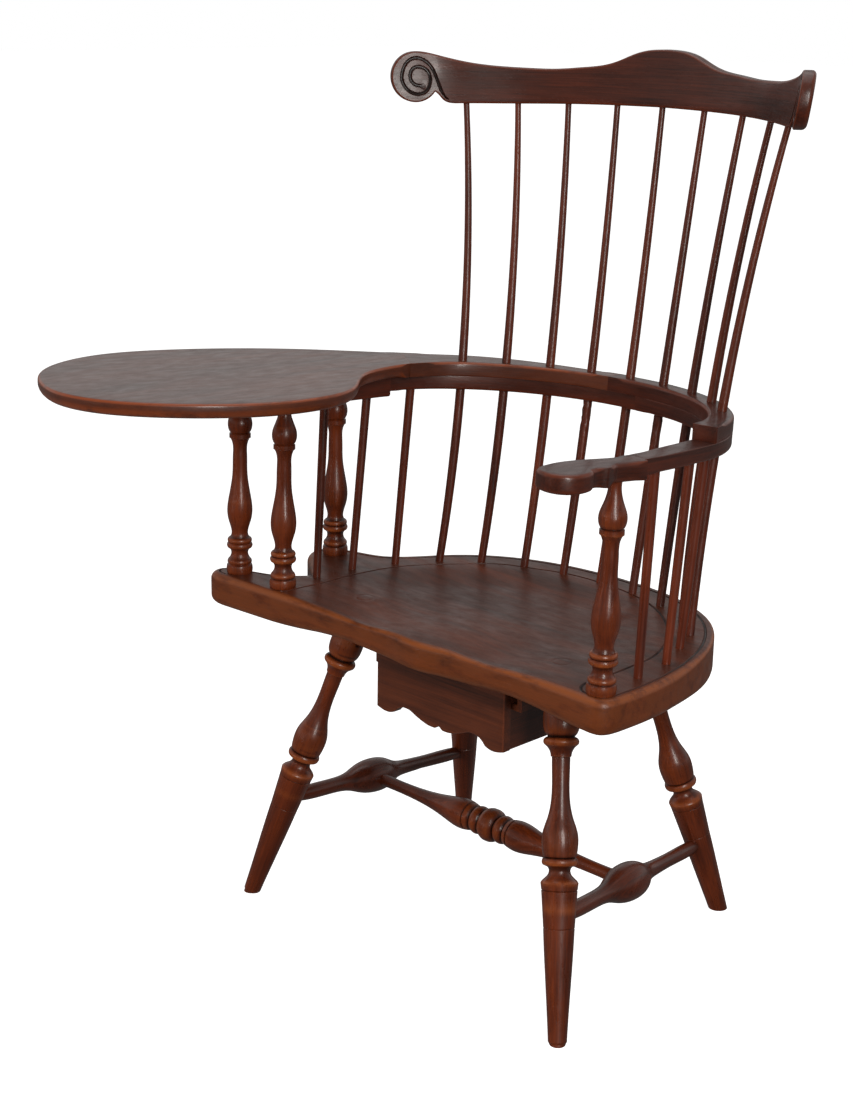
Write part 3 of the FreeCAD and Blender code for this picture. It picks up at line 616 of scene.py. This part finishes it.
def make_seat(wood):
    """The carved plank: scribed lines, a saddle with a low pommel and rolled edges."""
    rim = rim_of(SEAT_RUNS, 3.5)
    dish_line = spline(DISH_LINE, 2.5)
    dish_area = numpy.concatenate([dish_line, [(294, -330), (-298, -330)]])
    first = numpy.argmin(numpy.linalg.norm(rim - EDGE_LINE_ENDS[0], axis=1))
    last = numpy.argmin(numpy.linalg.norm(rim - EDGE_LINE_ENDS[1], axis=1))
    turned = numpy.roll(numpy.arange(len(rim)), -first)
    chosen = turned[:list(turned).index(last) + 1]
    edge_line = (rim + inwards(rim) * EDGE_LINE_INSET)[chosen]

    def saddle(flat):
        x, y = flat[:, 0], flat[:, 1]
        within = numpy.where(inside(flat, dish_area), distance(flat, dish_line), 0.0)
        side = numpy.clip(numpy.minimum(within, DISH_HALF_X - numpy.abs(x)), 0, None)
        bowl = smooth(side / SLOPE_WIDTH)
        forward = smooth((FRONT_FROM_Y - y) / FRONT_LENGTH)
        thigh = numpy.exp(-((numpy.abs(x) - THIGH_X) / THIGH_WIDTH) ** 2)
        left_over = POMMEL_SHARE + THIGH_SHARE * thigh
        depth = DISH_DEPTH * bowl * ((1 - forward) + forward * left_over)
        for tenon_x, tenon_y in LEG_TENONS:
            gap = numpy.hypot(x - tenon_x, y - tenon_y)
            allowed = TENON_DEPTH + DISH_DEPTH * smooth((gap - TENON_REACH) / TENON_FADE)
            depth = numpy.minimum(depth, allowed)
        return depth

    def hollow_under(flat):
        x, y = numpy.abs(flat[:, 0]), flat[:, 1]
        between_legs = smooth((THIN_HALF_X - x) / THIN_FADE)
        thin = THIN_LEAST + THIN_EXTRA * numpy.exp(-((x - THIN_X) / THIN_WIDTH) ** 2)
        return thin * between_legs * smooth((THIN_FROM_Y - y) / THIN_LENGTH)

    def share(rim):
        forward = smooth((ARRIS_FROM_Y - rim[:, 1]) / ARRIS_LENGTH)
        return REAR_ARRIS + (1 - REAR_ARRIS) * forward

    grooves = [(dish_line, *SCRIBED_LINE), (edge_line, *SCRIBED_LINE)]
    turns = numpy.radians(numpy.arange(0, 351, 15))
    ring = numpy.column_stack([numpy.cos(turns), numpy.sin(turns)]) * TENON_RADIUS
    for tenon in FRONT_TENONS:
        grooves.append((ring + tenon, *TENON_RING))
    carve("seat", rim, SEAT_UNDER, SEAT_TOP, 14.0, 11.0, lie_flat,
          grain_across((0.3, 0.1, 0.7)), wood["seat_wood"], "seat_wood", saddle, grooves,
          8.0, share, ring_steps=8, under=hollow_under, side_wear_and_light=0.4)


# ---------------------------------------------------------------- arms, back rail and tablet
def rail_edge(offset, angle_from, angle_to, count=7):
    """Points on the rail's half ellipse, offset outwards; 0 degrees is +X and 90 the back."""
    points = []
    for i in range(count):
        turn = math.radians(angle_from + (angle_to - angle_from) * i / (count - 1))
        points.append(((RAIL_HALF_X + offset) * math.cos(turn),
                       RAIL_CENTRE_Y + (RAIL_HALF_Y + offset) * math.sin(turn)))
    return points


# An arris's share where a joint is kept crisp, and the length over which it becomes whole.
CRISP_SHARE, CRISP_FADE = 0.08, 12.0


def square_at(*places):
    """How much of an arris is rounded: almost none where a joint meets another piece."""
    def share(rim):
        result = numpy.ones(len(rim))
        for (x, y), reach in places:
            gap = numpy.hypot(rim[:, 0] - x, rim[:, 1] - y)
            whole = smooth((gap - reach) / CRISP_FADE)
            result = numpy.minimum(result, CRISP_SHARE + (1 - CRISP_SHARE) * whole)
        return result
    return share


def make_rails(wood):
    rail, tablet = wood["rail_wood"], wood["tablet_wood"]
    w = RAIL_HALF_WIDTH

    def board(name, runs, low, high, ease, grain, material, slot, joints, step=4.0, **more):
        carve(name, rim_of(runs, step), low, high, ease[0], ease[1], lie_tilted, grain,
              material, slot, share=square_at(*joints), **more)

    middle = rail_edge(0, 84, 84, 2)[0]
    board("arm_rail_left", [
        rail_edge(-w, 84, 0), [(266, -140), (271, -190), (274.5, -217), (276, -243)],
        [(304, -243), (304, -217), (303, -185), (300, -140)], rail_edge(w, 0, 84),
    ], RAIL_UNDER, RAIL_MID, (4.0, 1.2), grain_round_rail((0.1, 0.4, 0.9)), rail, "rail_wood",
        [(middle, 22), ((290, -243), 18)])
    board("arm_hand_left", [
        [(276, -243.3), (272, -268), (260, -305), (251, -348), (254, -380)],
        [(254, -380), (264, -396), (282, -403), (302, -400), (315, -384), (316, -362)],
        [(316, -362), (312, -351), (306.5, -346)],
        [(306.5, -346), (306, -330), (310, -322)],
        [(310, -322), (307, -309), (302, -297)],
        [(302, -297), (304.5, -282), (308.5, -265), (310, -250)],
        [(304, -249), (304, -243.3)],
    ], RAIL_UNDER - 4, RAIL_MID, (7.0, 5.0), grain_turned(1.45, (0.6, 0.2, 0.1)), rail,
        "rail_wood", [((290, -243.3), 18), ((310, -322), 2)], 2.2, spacing=6.0)
    board("arm_rail_right", [rail_edge(-w, 84, 172), rail_edge(w, 172, 84)],
          RAIL_UNDER, RAIL_MID, (4.0, 0.4), grain_round_rail((0.5, 0.9, 0.2)), rail,
          "rail_wood", [(middle, 22), (rail_edge(0, 172, 172, 2)[0], 20)])
    board("arm_rail_right_front", [
        rail_edge(-w, 172, 180, 3), [(-266, -140), (-274, -325)], [(-304, -325), (-300, -140)],
        rail_edge(w, 180, 172, 3),
    ], RAIL_UNDER - 8, RAIL_MID, (3.0, 0.4), grain_round_rail((0.8, 0.3, 0.5)), rail,
        "rail_wood", [])
    board("back_rail_left", [rail_edge(-w, 95, 10), rail_edge(w, 10, 95)],
          RAIL_MID, RAIL_TOP, (0.6, 4.5), grain_round_rail((0.2, 0.7, 0.4)), rail,
          "rail_wood", [(rail_edge(0, 95, 95, 2)[0], 22), (rail_edge(0, 10, 10, 2)[0], 20)])
    board("back_rail_right", [
        rail_edge(-w, 95, 148, 5) + [TABLET_JOINT[0]],
        [TABLET_JOINT[1], (-300, 2), (-262, 42), (-205, 77), (-130, 100),
         rail_edge(w, 95, 96, 2)[0]],
    ], RAIL_MID, RAIL_TOP, (1.5, 4.5), grain_round_rail((0.9, 0.1, 0.3)), tablet,
        "rail_wood", [(rail_edge(0, 95, 95, 2)[0], 22), ((-270, -70), 30), ((-306, -42), 30)])
    board("writing_tablet", [
        [TABLET_JOINT[1], (-368, -68), (-425, -128), (-478, -204), (-520, -300), (-536.9, -400),
         (-515, -490), (-465, -563), (-392, -614), (-318, -636), (-255, -624), (-200, -584),
         (-152, -520), (-124, -450), (-119, -380), (-130, -325), (-152, -284), (-190, -240),
         (-222, -198), (-240, -150), TABLET_JOINT[0]],
    ], RAIL_MID, RAIL_TOP, (12.0, 4.0), grain_turned(1.62, (0.4, 0.5, 0.6)), tablet,
        "tablet_wood", [((-270, -70), 30), ((-306, -42), 30)], spacing=14.0, ring_steps=7)


# ---------------------------------------------------------------- crest
CREST_TOP = [(336, 1169), (293, 1160.5), (250, 1156.5), (207, 1155), (176, 1155),
             (135, 1158.5), (90, 1165), (71, 1171.5), (52, 1179), (33, 1184), (0, 1186.4)]
# The foot curls up into the volute; these four points are measured back from its centre.
CREST_HEEL = [(34, 1115.5), (40, 1109), (49, 1105), (63, 1104.3)]
CREST_FOOT = [(240, 1105.5), (140, 1108), (0, 1110)]
CUSP_ANGLE = 215
VOLUTE_GROOVE = (2.8, 3.6)
# The scroll's face falls away from its middle by this much, fading out along the rail.
DOME_DROP, DOME_FROM, DOME_WIDTH, DOME_FADE_FROM, DOME_FADE = 1.5, 6.0, 30.0, 130.0, 80.0
# The scribed volute, from the neck inwards: towards the middle and up from its centre.
VOLUTE_LINE = [
    (47, -31.5), (42.8, -28), (37.9, -19.6), (31.4, -4.5), (24.9, 10), (15.1, 21), (2.1, 26),
    (-10.9, 21.5), (-18.6, 8.8), (-20, -3.8), (-14.5, -15), (-5, -22), (5.4, -23.5), (15.1, -19.6),
    (20.3, -10.1), (20.8, -0.6), (16.6, 8.6), (7, 13.6), (-2.8, 12.4), (-7.9, 4.9), (-7.4, -3.8),
    (-2, -10), (6, -12),
]


def crest_half():
    """The right half of the crest's outline, from the middle of its foot to its top."""
    foot = CREST_FOOT[::-1] + [(CREST_END - back, z) for back, z in CREST_HEEL[::-1]]
    scroll = []
    for angle in range(CUSP_ANGLE - 360, 91, 10):
        turn = math.radians(angle)
        scroll.append((CREST_END + VOLUTE_RADIUS * math.cos(turn),
                       VOLUTE_Z + VOLUTE_RADIUS * math.sin(turn)))
    return foot + [scroll[0]], scroll + CREST_TOP


def make_crest(wood):
    foot, rest = crest_half()
    other_foot = [(-x, z) for x, z in foot[::-1]]
    other_rest = [(-x, z) for x, z in rest[::-1]]
    rim = rim_of([foot, rest, other_rest, other_foot], 3.0)
    grooves = []
    for side in (-1, 1):
        line = [(side * (CREST_END - x), VOLUTE_Z + z) for x, z in VOLUTE_LINE]
        grooves.append((spline(line, 1.3), *VOLUTE_GROOVE))

    def dome(flat):
        """The scroll's face is domed, and the rail thins towards it."""
        along = numpy.abs(flat[:, 0])
        gap = numpy.hypot(along - CREST_END, flat[:, 1] - VOLUTE_Z)
        fade = smooth((along - CREST_END + DOME_FADE_FROM) / DOME_FADE)
        return DOME_DROP * smooth((gap - DOME_FROM) / DOME_WIDTH) * fade

    def grain(uv, w):
        return numpy.column_stack([uv[:, 1], w, uv[:, 0]]) / 1000 + (0.3, 0.6, 0.2)

    half = CREST_THICK / 2
    carve("crest_rail", rim, -half, half, 6.0, 3.5, lie_on_crest, grain, wood["rail_wood"],
          "rail_wood", dome, grooves, 6.0, ring_steps=5)


# ---------------------------------------------------------------- drawer front
def make_drawer_front(wood):
    low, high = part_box("drawer_front")
    half, bottom, top = (high.x - low.x) * 500, low.z * 1000, high.z * 1000
    face, behind = (low.y - ORIGIN.y) * 1000, (high.y - ORIGIN.y) * 1000
    right = [
        [(0, 6.6), (7, 1.6)], [(7, 1.6), (20, 2), (30, 4.5), (42, 8.5), (55, 13.5), (67, 14)],
        [(67, 14), (78, 9), (84, 3)], [(84, 3), (93, 0), (106, 0.3), (half, 3.3)],
    ]
    runs = [[(x, h + bottom) for x, h in run] for run in right]
    left = [[(-x, z) for x, z in run[::-1]] for run in runs[::-1]]
    rim = rim_of(runs + [[(half, top), (-half, top)]] + left, 2.5)

    def place(uv, w):
        return numpy.column_stack([uv[:, 0], -w, uv[:, 1]])

    carve("drawer_front", rim, -behind, -face, 0.6, 2.0, place, grain_across((0.7, 0.2, 0.4)),
          wood["drawer_wood"], "drawer_wood", body="drawer", spacing=12.0)


# ---------------------------------------------------------------- dressing the CAD pieces
TURNED = ("leg_", "side_stretcher", "medial_stretcher", "arm_post", "tablet_post",
          "back_spindle", "side_spindle")
SCREWS = ("back_rail_screws", "tablet_screws", "runner_screws")
CARVED = ("seat", "arm_rail_left", "arm_hand_left", "arm_rail_right", "arm_rail_right_front",
          "back_rail_left", "back_rail_right", "writing_tablet", "crest_rail", "drawer_front")


def dress_solids(wood, steel):
    for i, name in enumerate(sorted(nodes)):
        offset = numpy.array((0.37 * i % 1.0, 0.61 * i % 1.0, 0.83 * i % 3.0))
        mesh = nodes[name].data
        if name in CARVED:
            continue
        if name in SCREWS:
            dress(name, {}, steel)
        elif name.startswith(TURNED) and name != "leg_wedges":
            plain = "spindle" in name or name.startswith("side_stretcher")
            wanted = wood["spindle_wood"] if "spindle" in name else wood["turned_wood"]
            foot = LEG_FOOT if name.startswith("leg_") else 0.0
            dress(name, turned_values(mesh, offset, plain, foot), wanted)
        elif name in ("leg_wedges", "hand_dowels"):
            dress(name, straight_values(mesh, offset), wood["seat_wood"])
        else:
            dress(name, straight_values(mesh, offset), wood["drawer_wood"])


# ---------------------------------------------------------------- camera and studio
CAMERA_AT = Vector((1.648, -1.9932, 1.2592))
CAMERA_YAW, CAMERA_PITCH, CAMERA_ROLL = 44.249, 16.31, 0.991
CAMERA_SENSOR, CAMERA_LENS = 36.0, 62.682545


def make_camera():
    """A viewpoint in front, to the sitter's left and a little above the crest."""
    yaw, pitch, roll = (math.radians(a) for a in (CAMERA_YAW, CAMERA_PITCH, CAMERA_ROLL))
    ahead = Vector((-math.sin(yaw) * math.cos(pitch), math.cos(yaw) * math.cos(pitch),
                    -math.sin(pitch)))
    level = Vector((math.cos(yaw), math.sin(yaw), 0))
    upward = level.cross(ahead)
    right = level * math.cos(roll) + upward * math.sin(roll)
    top = upward * math.cos(roll) - level * math.sin(roll)
    data = bpy.data.cameras.new("camera")
    data.sensor_width = CAMERA_SENSOR
    data.lens = CAMERA_LENS
    camera = bpy.data.objects.new("camera", data)
    bpy.context.collection.objects.link(camera)
    turn = Matrix((right, top, -ahead)).transposed().to_4x4()
    camera.matrix_world = Matrix.Translation(CAMERA_AT + ORIGIN) @ turn
    bpy.context.scene.camera = camera


def area_light(name, place, target, size, power, colour):
    data = bpy.data.lights.new(name, "AREA")
    data.shape = "RECTANGLE"
    data.size, data.size_y = size
    data.energy = power
    data.color = colour
    lamp = bpy.data.objects.new(name, data)
    bpy.context.collection.objects.link(lamp)
    lamp.location = place
    lamp.rotation_euler = (Vector(target) - Vector(place)).to_track_quat("-Z", "Y").to_euler()
    return lamp


# How bright the room is from the horizon (0) to straight up (1); below it is as at the horizon.
ROOM_LEVELS = ((0.0, 0.12), (0.06, 0.3), (0.14, 0.6), (0.26, 0.56), (0.38, 0.36), (1.0, 0.2))
# The room is brighter behind the chair, as seen from the camera, than in front of it.
BRIGHT_SIDE = (-0.7, 0.7, 0.0)
FRONT_SHARE, FRONT_UP_TO, BACK_FROM = 0.5, -0.4, 0.3
# Each lamp's place and target in metres, its width and height, its power in watts and colour.
LAMPS = {
    "key": ((2.4, -1.25, 1.6), (0.1, 0, 0.7), (0.6, 1.9), 40, (1.0, 0.97, 0.93)),
    "fill": ((-0.9, -2.9, 0.55), (0, 0, 0.45), (1.6, 0.8), 34, (1.0, 0.98, 0.95)),
    "top": ((-0.2, 0.6, 3.0), (0, 0, 0.5), (2.4, 2.4), 18, (1, 1, 1)),
}
FLOOR_HALF, FLOOR_GREY, FLOOR_GLOW = 30.0, 0.7, 0.97


def make_world():
    """A pale studio: pure white behind the chair, and dimmer where it lights and is mirrored."""
    world = bpy.data.worlds.new("studio")
    bpy.context.scene.world = world
    world.use_nodes = True
    tree = world.node_tree
    room = tree.nodes["Background"]
    room.inputs["Color"].default_value = (1.0, 0.985, 0.97, 1)
    direction = tree.nodes.new("ShaderNodeTexCoord")
    split = tree.nodes.new("ShaderNodeSeparateXYZ")
    link(tree, direction.outputs["Generated"], split.inputs["Vector"])
    levels = tree.nodes.new("ShaderNodeValToRGB")
    link(tree, split.outputs["Z"], levels.inputs["Fac"])
    marks = levels.color_ramp.elements
    while len(marks) < len(ROOM_LEVELS):
        marks.new(0.5)
    for mark, (height, strength) in zip(marks, ROOM_LEVELS):
        mark.position = height
        mark.color = (strength, strength, strength, 1)
    facing = tree.nodes.new("ShaderNodeVectorMath")
    facing.operation = "DOT_PRODUCT"
    link(tree, direction.outputs["Generated"], facing.inputs[0])
    facing.inputs[1].default_value = BRIGHT_SIDE
    side = tree.nodes.new("ShaderNodeMapRange")
    link(tree, facing.outputs["Value"], side.inputs["Value"])
    side.inputs["From Min"].default_value = FRONT_UP_TO
    side.inputs["From Max"].default_value = BACK_FROM
    side.inputs["To Min"].default_value = FRONT_SHARE
    strength = tree.nodes.new("ShaderNodeMath")
    strength.operation = "MULTIPLY"
    link(tree, levels.outputs["Color"], strength.inputs[0])
    link(tree, side.outputs["Result"], strength.inputs[1])
    link(tree, strength.outputs["Value"], room.inputs["Strength"])
    behind = tree.nodes.new("ShaderNodeBackground")
    behind.inputs["Color"].default_value = (1, 1, 1, 1)
    behind.inputs["Strength"].default_value = 1.0
    path = tree.nodes.new("ShaderNodeLightPath")
    choose = tree.nodes.new("ShaderNodeMixShader")
    link(tree, path.outputs["Is Camera Ray"], choose.inputs["Fac"])
    link(tree, room.outputs["Background"], choose.inputs[1])
    link(tree, behind.outputs["Background"], choose.inputs[2])
    link(tree, choose.outputs["Shader"], tree.nodes["World Output"].inputs["Surface"])


def make_floor():
    """White paper that the lacquer doesn't mirror, so that the legs stay dark."""
    h = FLOOR_HALF
    mesh = bpy.data.meshes.new("floor")
    mesh.from_pydata([(-h, -h, 0), (h, -h, 0), (h, h, 0), (-h, h, 0)], [], [(0, 1, 2, 3)])
    floor = bpy.data.objects.new("floor", mesh)
    bpy.context.collection.objects.link(floor)
    b = Board("floor_paper")
    b.shader.inputs["Base Color"].default_value = (FLOOR_GREY, FLOOR_GREY, FLOOR_GREY, 1)
    b.shader.inputs["Roughness"].default_value = 0.95
    b.shader.inputs["Specular IOR Level"].default_value = 0.0
    b.shader.inputs["Emission Color"].default_value = (1, 1, 1, 1)
    b.shader.inputs["Emission Strength"].default_value = FLOOR_GLOW
    mesh.materials.append(b.material)
    floor.visible_glossy = False
    floor.visible_diffuse = False


def make_studio():
    scene = bpy.context.scene
    scene.view_settings.view_transform = "Standard"
    scene.view_settings.look = "None"
    make_world()
    lamps = {name: area_light(name, *settings) for name, settings in LAMPS.items()}
    lamps["fill"].visible_glossy = False
    make_floor()


woods = make_woods()
make_seat(woods)
make_rails(woods)
make_crest(woods)
make_drawer_front(woods)
dress_solids(woods, screw_steel())
make_camera()
make_studio()
